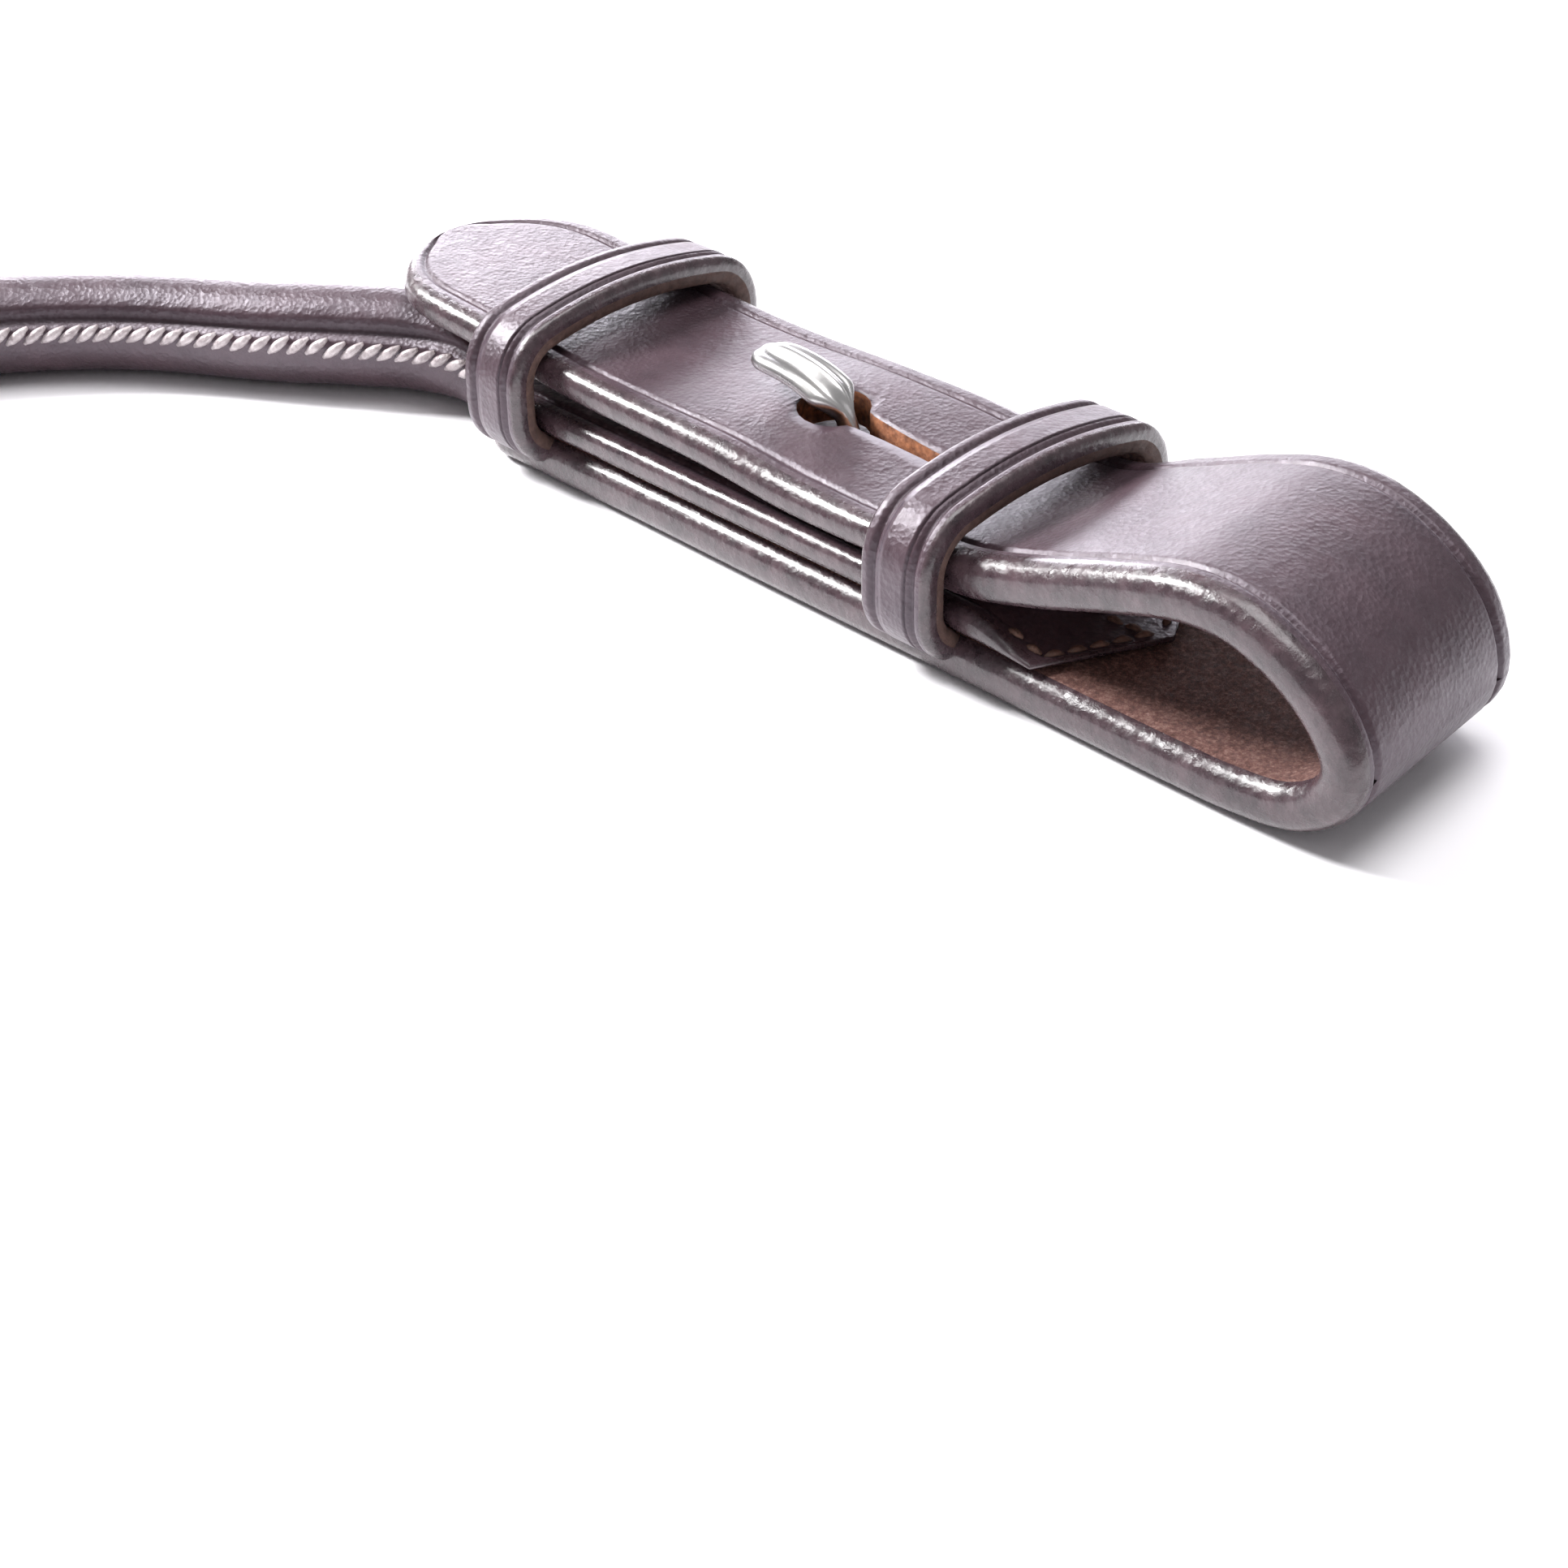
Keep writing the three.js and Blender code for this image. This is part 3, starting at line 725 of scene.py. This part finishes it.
def billet_filler():
    """The stiffening layer, whose stitched point shows inside the bit loop."""
    half, base, thick = 0.0092, 0.0035, 0.002
    stations = [
        (-0.0355, 0.4), (-0.0345, 0.62), (-0.0320, 0.80), (-0.0300, 1),
        (0.0223, 1), (0.0268, 0.05), (0.0270, 0.02),
    ]
    points = []
    for (x0, w0), (x1, w1) in zip(stations, stations[1:]):
        steps = max(1, round((x1 - x0) / 0.001))
        points += [(x0 + (x1 - x0) * i / steps, w0 + (w1 - w0) * i / steps) for i in range(steps)]
    points.append(stations[-1])
    section = strap_section(half, thick / 2, 0.0008, crease_in=0.0016, crease_deep=0.0002)
    skive = [filler_height(x) for x, _ in points]
    centres = [Vector((x, 0, base + thick / 2 * k)) for (x, _), k in zip(points, skive)]
    rings = strap_rings(
        centres, section, [UP] * len(centres),
        width_at=lambda i: points[i][1], thick_at=lambda i: skive[i],
    )
    rings = swing_rings(rings)
    kinds = [kind for _, _, kind in section]
    piece = skin("billet_stiffener", rings, kinds, [GRAIN, FLESH, EDGE])
    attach(piece, "root")
    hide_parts("billet_filler")


def filler_stitches():
    """The stitching that crosses the stiffener's point, where it shows inside the loop."""
    vertices, faces = [], []
    rows = [((0.0190, side * 0.0078), (0.0222, side * 0.0078)) for side in (-1, 1)]
    rows += [((0.0222, side * 0.0078), (0.0258, side * 0.0005)) for side in (-1, 1)]
    rows.append(((0.0185, -0.0015), (0.0252, -0.0010)))
    for (x0, y0), (x1, y1) in rows:
        count = max(2, round(math.hypot(x1 - x0, y1 - y0) / 0.0015))
        for i in range(count):
            share = (i + 0.5) / count
            x, y = x0 + (x1 - x0) * share, y0 + (y1 - y0) * share
            place = swung(Vector((x, y, 0.0035 + 0.002 * filler_height(x))))
            slant = Vector((x1 - x0, y1 - y0, 0)).normalized()
            stitch(vertices, faces, place, slant, slant.cross(UP).normalized(), UP, 0.0014, 0.00030)
    thread_piece("stiffener_stitches", vertices, faces, DARK_THREAD)


def crowned_path(half, base, top, foot_radius, shoulder_radius, crown):
    """A rounded rectangle with a crowned top in the y-z plane, starting under the strap's middle."""
    points = [(0, base), (half - foot_radius, base)]
    for i in range(1, 9):
        angle = -math.pi / 2 + math.pi / 2 * i / 8
        points.append((
            half - foot_radius + foot_radius * math.cos(angle),
            base + foot_radius + foot_radius * math.sin(angle),
        ))
    for i in range(9):
        angle = math.pi / 2 * 0.9 * i / 8
        points.append((
            half - shoulder_radius + shoulder_radius * math.cos(angle),
            top - shoulder_radius + shoulder_radius * math.sin(angle),
        ))
    edge = points[-1]
    for i in range(1, 9):
        t = i / 16
        y = edge[0] * (1 - t) ** 2 - edge[0] * t ** 2
        z = edge[1] * (1 - t) ** 2 + 2 * (top + crown) * t * (1 - t) + edge[1] * t ** 2
        points.append((y, z))
    mirrored = [(-y, z) for y, z in reversed(points[1:-1])]
    return points + mirrored


def keeper(name, node, centre, half, base, top, width, wall, foot, radii):
    """A keeper: a creased band with rounded edges, closed by a thin foot sewn under the strap."""
    middle = wall / 2
    path = crowned_path(half - middle, base + foot / 2, top - middle, *radii, KEEPER_CROWN)
    points = spaced([Vector((centre[0], centre[1] + y, z)) for y, z in path + path[:1]], 0.0004)[:-1]
    directions = tangents(points, closed=True)
    section = strap_section(width / 2, wall / 2, 0.0006, crease_in=0.0013, crease_deep=0.00034)
    section = [(a, b, 3 if kind == 2 and b < 0 else kind) for a, b, kind in section]
    along = Vector((1, 0, 0))
    rings = []
    for point, direction in zip(points, directions):
        outward = direction.cross(along)
        thin = 1.0
        if point.z < base + foot and abs(point.y - centre[1]) < half - radii[0]:
            thin = foot / wall
        rings.append([point + along * -a + outward * (b * thin) for a, b, _ in section])
    if rings[0][0].z > points[0].z:
        rings = [[2 * point - p for p in ring] for point, ring in zip(points, rings)]
    kinds = [kind for _, _, kind in section]
    piece = skin(name, rings, kinds, [GRAIN, FLESH, EDGE, RAW_EDGE], closed=True)
    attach(piece, "root")
    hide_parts(node)
    return piece


def hook_section(half_width, half_thick, ridge):
    """The hook's cross-section: round sides and a ridge along the middle of its back, between two flutes."""
    outline = []
    for i in range(33):
        share = -1 + 2 * i / 32
        body = half_thick * (1 - abs(share) ** 3.2) ** 0.5
        flute = 0.55 * math.exp(-(((abs(share) - 0.46) / 0.2) ** 2))
        spine = ridge * (math.exp(-((share / 0.24) ** 2)) - flute)
        outline.append((half_width * share, body + spine))
    for i in range(1, 32):
        share = 1 - 2 * i / 32
        outline.append((half_width * share, -half_thick * (1 - abs(share) ** 3.2) ** 0.5))
    return outline


def stud_hook():
    """The hook stud: a narrow neck through the leather, then a fluted hook curled over towards the rein."""
    centres = smooth_points(on_midline(HOOK_ROUTE), 0.00035)
    normals = plane_normals(centres)
    if normals[-1].z < 0:
        normals = [-n for n in normals]
    rings = []
    last = len(centres) - 1
    for i, (centre, normal) in enumerate(zip(centres, normals)):
        t = i / last
        spread = ease((t - 0.33) / 0.16)
        wide = 0.0005 + 0.00153 * spread
        thick = 0.00090 - 0.00018 * t
        nose = max(0, (t - 0.84) / 0.16)
        wide *= math.sqrt(max(1 - nose ** 2.2, 0.02))
        thick *= math.sqrt(max(1 - nose ** 3, 0.04))
        section = hook_section(wide, thick, 0.00034 * ease((t - 0.25) / 0.2) * (1 - nose))
        rings.append([centre + Vector((0, a, 0)) + normal * b for a, b in section])
    piece = skin("hook_stud", rings, [0] * len(rings[0]), [STEEL])
    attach(piece, "root")
    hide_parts("stud_hook")


# ---------------------------------------------------------------- the rolled rein

def coil_points():
    """Four turns, two beside and two on each other, then the crossing over the top."""
    points = []
    full = 360
    total = COIL_TURNS * full + (CROSSING_START_DEG - COIL_START_DEG)
    inward, outward = full - SIDE_STEP_DEG, 3 * full - SIDE_STEP_DEG
    second_level, crossing = 2 * full - CLIMB_DEG, COIL_TURNS * full - CLIMB_DEG
    for step in range(0, int(total / COIL_STEP_DEG) + 1):
        a = min(step * COIL_STEP_DEG, total)
        radius = OUTER_TURN
        if a >= inward:
            radius = OUTER_TURN + (INNER_TURN - OUTER_TURN) * ease((a - inward) / SIDE_STEP_DEG)
        if a >= outward:
            radius = INNER_TURN + (OUTER_TURN - INNER_TURN) * ease((a - outward) / SIDE_STEP_DEG)
        if a >= crossing:
            radius = OUTER_TURN + (CROSSING_TURN - OUTER_TURN) * ease((a - crossing) / CLIMB_DEG)
        level = LOWER_LEVEL
        if a >= second_level:
            level = LOWER_LEVEL + (UPPER_LEVEL - LOWER_LEVEL) * ease((a - second_level) / CLIMB_DEG)
        if a >= crossing:
            level = UPPER_LEVEL + (TOP_LEVEL - UPPER_LEVEL) * ease((a - crossing) / CLIMB_DEG)
        angle = math.radians(COIL_START_DEG + a)
        points.append(COIL_CENTRE + Vector((radius * math.cos(angle), radius * math.sin(angle), level)))
    return points


def tail_points():
    """The last bend, from the coil's top turn in towards the hand end."""
    start = math.radians(CROSSING_START_DEG)
    centre = COIL_CENTRE + Vector((math.cos(start), math.sin(start), 0)) * (CROSSING_TURN - TAIL_BEND)
    points = []
    for i in range(1, 25):
        angle = start + math.radians(TAIL_BEND_DEG) * i / 24
        points.append(centre + Vector((TAIL_BEND * math.cos(angle), TAIL_BEND * math.sin(angle), TOP_LEVEL)))
    return points


def rein_path():
    """The rolled rein's whole centre line, from the throat to the hand end."""
    lead = smooth_points(LEAD_ROUTE, 0.001)
    return spaced(lead + coil_points() + tail_points(), ROLL_STEP)


def roll_section(radius, seam_angle, groove=1.0):
    """The rolled rein's section: a circle with a seam groove, and a lip where the edge was folded under."""
    outline = []
    for i in range(ROLL_SIDES):
        angle = 2 * math.pi * i / ROLL_SIDES
        away = math.degrees((angle - seam_angle + math.pi) % (2 * math.pi) - math.pi)
        seam = SEAM_DEPTH * math.exp(-((away / SEAM_SPREAD_DEG) ** 2))
        lip = LIP_HEIGHT * math.exp(-(((away - LIP_DEG) / LIP_SPREAD_DEG) ** 2))
        outline.append((angle, radius - groove * (seam - lip)))
    return outline


def roll_frames(points):
    """A side and an up direction at each point, square to the path and level with the floor."""
    frames = []
    for tangent in tangents(points):
        side = tangent.cross(UP).normalized()
        frames.append((side, side.cross(tangent).normalized()))
    return frames


def throat_points():
    """The throat's centre line, from beside the rein-end keeper to the rolled rein's first ring."""
    route = [
        (-0.0333, 0, 0.00175), (-0.0355, 0, 0.0020), (-0.0396, -0.0021, 0.0033),
        (-0.0442, -0.0057, 0.00395), (-0.0493, -0.0096, 0.0040),
    ]
    return smooth_points(route, 0.0006)


def throat_ring(t, point, side, up):
    """One ring of the throat: flat strap at t 0, the round grooved roll at t 1."""
    end_radius = roll_radius_at(0)
    wide = THROAT_HALF_WIDTH + (end_radius - THROAT_HALF_WIDTH) * t
    high = THROAT_HALF_HEIGHT + (end_radius - THROAT_HALF_HEIGHT) * t
    power = 1 / (2.6 - 1.6 * t)
    ring = []
    for angle, share in roll_section(1, SEAM_ANGLE, groove=t / end_radius):
        c, s = math.cos(angle), math.sin(angle)
        a = math.copysign(abs(c) ** power, c) * wide
        b = math.copysign(abs(s) ** power, s) * high
        ring.append(point + side * (a * share) + up * (b * share))
    return ring


def throat_rings(path):
    """The throat's rings, which end on the rolled rein's first one."""
    points = throat_points()
    frames = roll_frames(points)
    last_side, last_up = roll_frames(path[:2])[0]
    count = len(points) - 1
    rings = []
    for i, (point, (side, up)) in enumerate(zip(points, frames)):
        turn = ease((i / count - 0.6) / 0.4)
        side = side.lerp(last_side, turn).normalized()
        up = up.lerp(last_up, turn).normalized()
        place = point.lerp(path[0], turn * (i == count))
        rings.append(throat_ring(ease(i / count / 0.72), place, side, up))
    return rings


def rein_throat(path):
    """The flat strap closing into the round rein; its edges come together as the seam."""
    rings = throat_rings(path)
    piece = skin("rein_throat_leather", rings, [0] * ROLL_SIDES, [GRAIN])
    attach(piece, "root")
    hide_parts("rein_throat")


def roll_radius_at(reach):
    """The roll is a little thicker where it leaves the billet."""
    return ROLL_RADIUS + ROLL_SWELL * (1 - ease(reach / ROLL_SWELL_LENGTH))


def rein_roll(path):
    """The whole rolled rein, from its throat through the coil to the hand end."""
    frames = roll_frames(path)
    rings = []
    for i, (point, (side, up)) in enumerate(zip(path, frames)):
        ring = []
        for angle, radius in roll_section(roll_radius_at(i * ROLL_STEP), SEAM_ANGLE):
            ring.append(point + side * (radius * math.cos(angle)) + up * (radius * math.sin(angle)))
        rings.append(ring)
    piece = skin("rolled_rein", rings, [0] * ROLL_SIDES, [GRAIN])
    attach(piece, "root")
    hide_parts("rein_roll", "rein_core", "rein_coil", "rein_tail")
    return piece


def stitch(vertices, faces, centre, along, across, out, length, thick):
    """One slanted stitch: a short lozenge of thread, half sunk in the leather."""
    start = len(vertices)
    for i in range(STITCH_RINGS):
        t = i / (STITCH_RINGS - 1)
        arch = math.sin(math.pi * t)
        place = centre + along * (length * (t - 0.5)) + out * (thick * 0.55 * arch - thick * 0.25)
        girth = thick * (0.35 + 0.65 * arch ** 0.7)
        for k in range(STITCH_SIDES):
            angle = 2 * math.pi * k / STITCH_SIDES
            sideways = across * (girth * math.cos(angle))
            vertices.append(place + sideways + out * (girth * 0.8 * math.sin(angle)))
    for i in range(STITCH_RINGS - 1):
        for k in range(STITCH_SIDES):
            m = (k + 1) % STITCH_SIDES
            a, b = start + i * STITCH_SIDES + k, start + i * STITCH_SIDES + m
            faces.append((a, b, b + STITCH_SIDES, a + STITCH_SIDES))
    last = start + (STITCH_RINGS - 1) * STITCH_SIDES
    faces.append(tuple(start + k for k in reversed(range(STITCH_SIDES))))
    faces.append(tuple(last + k for k in range(STITCH_SIDES)))


def thread_piece(name, vertices, faces, material):
    """Makes one piece of a row of stitches."""
    piece = build_mesh(name, vertices, faces, [0] * len(faces), [material])
    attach(piece, "root")
    return piece


def seam_stitch(vertices, faces, place, out, tangent, draw):
    """One stitch of the rein's seam, slanted so that the row looks like a twisted cord."""
    around = out.cross(tangent).normalized()
    slant = (tangent * 0.82 + around * (0.55 + draw.uniform(-0.06, 0.06))).normalized()
    across = slant.cross(out).normalized()
    stitch(vertices, faces, place + out * STITCH_LIFT, slant, across, out, STITCH_LENGTH, STITCH_THICK)


def roll_stitches(path):
    """The row of slanted stitches just below the seam, along the whole rein."""
    points = spaced(path, STITCH_PITCH)
    draw = random.Random(11)
    vertices, faces = [], []
    for i, (point, tangent, (side, up)) in enumerate(zip(points, tangents(points), roll_frames(points))):
        out = side * math.cos(STITCH_ANGLE) + up * math.sin(STITCH_ANGLE)
        place = point + out * roll_radius_at(i * STITCH_PITCH)
        seam_stitch(vertices, faces, place, out, tangent, draw)
    return thread_piece("rein_seam_stitches", vertices, faces, THREAD)


def throat_stitches(path):
    """The same row where it runs on along the throat, up to the keeper."""
    rings = throat_rings(path)
    k = round(STITCH_ANGLE / (2 * math.pi) * ROLL_SIDES) % ROLL_SIDES
    row = [ring[k] for ring in rings]
    middle = [sum(ring, Vector()) / ROLL_SIDES for ring in rings]
    places = spaced(row[len(row) // 3:], STITCH_PITCH)[:-1]
    draw = random.Random(12)
    vertices, faces = [], []
    for place, tangent in zip(places, tangents(places)):
        nearest = min(range(len(row)), key=lambda i: (row[i] - place).length)
        out = place - middle[nearest]
        out = (out - tangent * out.dot(tangent)).normalized()
        seam_stitch(vertices, faces, place, out, tangent, draw)
    thread_piece("throat_seam_stitches", vertices, faces, THREAD)


# ---------------------------------------------------------------- the hand end

def hand_taper(start_x, end_x, end_z):
    """The round rein closing down to the flat hand end."""
    rings = []
    count = 24
    for i in range(count + 1):
        t = i / count
        soft = ease(t)
        point = Vector((start_x + (end_x - start_x) * t, HAND_Y, TOP_LEVEL + (end_z - TOP_LEVEL) * t))
        wide = ROLL_RADIUS + (0.0093 - ROLL_RADIUS) * soft
        high = ROLL_RADIUS + (0.0029 - ROLL_RADIUS) * soft
        power = 1 / (1 + 1.8 * soft)
        ring = []
        for angle, _ in roll_section(1, SEAM_ANGLE, groove=0):
            c, s = math.cos(angle), math.sin(angle)
            a = math.copysign(abs(c) ** power, c) * wide
            b = math.copysign(abs(s) ** power, s) * high
            away = math.degrees((angle - SEAM_ANGLE + math.pi) % (2 * math.pi) - math.pi)
            dip = 1 - 0.18 * (1 - soft) * math.exp(-((away / 6.5) ** 2))
            ring.append(point + Vector((0, -a * dip, b * dip)))
        rings.append(ring)
    piece = skin("hand_taper_leather", rings, [0] * ROLL_SIDES, [GRAIN])
    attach(piece, "root")
    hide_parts("hand_taper")
    return piece


def hand_chape():
    """The chape folded round the buckle's bar, slotted for the tongue."""
    start_x, end_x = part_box("hand_chape")[0].x, BAR.x - 0.005
    lower, upper, fold = 0.0171, 0.0210, 0.0027
    steps = 30
    centres = [Vector((start_x + (end_x - start_x) * i / steps, HAND_Y, lower)) for i in range(steps + 1)]
    for i in range(17):
        angle = -math.pi / 2 + math.pi * i / 16
        centres.append(Vector((BAR.x + fold * math.cos(angle), HAND_Y, BAR.z + fold * math.sin(angle))))
    centres += [Vector((end_x - (end_x - start_x) * i / steps, HAND_Y, upper)) for i in range(steps + 1)]
    section = strap_section(STRAP_HALF, CHAPE_HALF_THICK, 0.0008)
    rings = strap_rings(centres, section, plane_normals(centres))
    kinds = [kind for _, _, kind in section]
    piece = skin("hand_chape_leather", rings, kinds, [GRAIN, FLESH, EDGE, CUT])
    slot_half = 0.0017
    low, high = (BAR.x - 0.004, HAND_Y - slot_half, 0.01), (BAR.x + 0.006, HAND_Y + slot_half, 0.03)
    cut(piece, box_cutter(low, high))
    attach(piece, "root")
    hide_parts("hand_chape")
    return piece


def box_cutter(low, high):
    """A box between two corners, as a cutter with raw leather walls."""
    corners = [(x, y, z) for z in (low[2], high[2]) for y in (low[1], high[1]) for x in (low[0], high[0])]
    faces = [(0, 2, 3, 1), (4, 5, 7, 6), (0, 1, 5, 4), (2, 6, 7, 3), (0, 4, 6, 2), (1, 3, 7, 5)]
    return build_mesh("cutter", corners, faces, [3] * 6, [GRAIN, FLESH, EDGE, CUT])


def hand_filler():
    """The thin layer packed between the chape's legs."""
    low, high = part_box("hand_filler")
    section = strap_section((high.y - low.y) / 2, (high.z - low.z) / 2, 0.0004)
    steps = 12
    middle = (low.z + high.z) / 2
    centres = [Vector((low.x + (high.x - low.x) * i / steps, HAND_Y, middle)) for i in range(steps + 1)]
    kinds = [kind for _, _, kind in section]
    rings = strap_rings(centres, section, [UP] * len(centres))
    piece = skin("hand_packing", rings, kinds, [GRAIN, FLESH, EDGE])
    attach(piece, "root")
    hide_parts("hand_filler")
    return piece


def hand_stitches():
    """Two rows along the chape, broken where its keeper sits."""
    start_x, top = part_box("hand_chape")[0].x + 0.0015, 0.0221
    count, pitch, row_y, keeper_reach = 16, 0.00205, 0.0070, 0.0036
    slant = Vector((0.93, 0.37, 0))
    across = slant.cross(UP).normalized()
    vertices, faces = [], []
    for i in range(count):
        x = start_x + i * pitch
        if abs(x - HAND_KEEPER_X) < keeper_reach:
            continue
        for side in (-1, 1):
            place = Vector((x, HAND_Y + side * row_y, top))
            stitch(vertices, faces, place, slant, across, UP, 0.0019, 0.00034)
    return thread_piece("hand_end_stitches", vertices, faces, THREAD)


def finish_metal(node):
    """A carried-over metal node gets the polished steel."""
    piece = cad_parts[node]
    piece.data.materials.clear()
    piece.data.materials.append(STEEL)


# ---------------------------------------------------------------- everything together

add_camera()
add_lights()
add_floor()

path = rein_path()
rein_throat(path)
roll = rein_roll(path)
seam = roll_stitches(path)
throat_stitches(path)
taper = hand_taper(path[-1].x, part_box("hand_taper")[1].x, BAR.z)
chape = hand_chape()
packing = hand_filler()
end_stitches = hand_stitches()
hand_keeper = keeper("hand_end_keeper", "hand_keeper", (HAND_KEEPER_X, HAND_Y), **HAND_KEEPER)
for metal in ("buckle_frame", "buckle_tongue", "stud_plate"):
    finish_metal(metal)

billet_loop()
billet_point()
billet_filler()
filler_stitches()
keeper("rein_end_keeper", "keeper_rein_end", (REIN_KEEPER_X, 0), **BILLET_KEEPER)
keeper("loop_end_keeper", "keeper_loop_end", (LOOP_KEEPER_X, 0), **BILLET_KEEPER)
stud_hook()
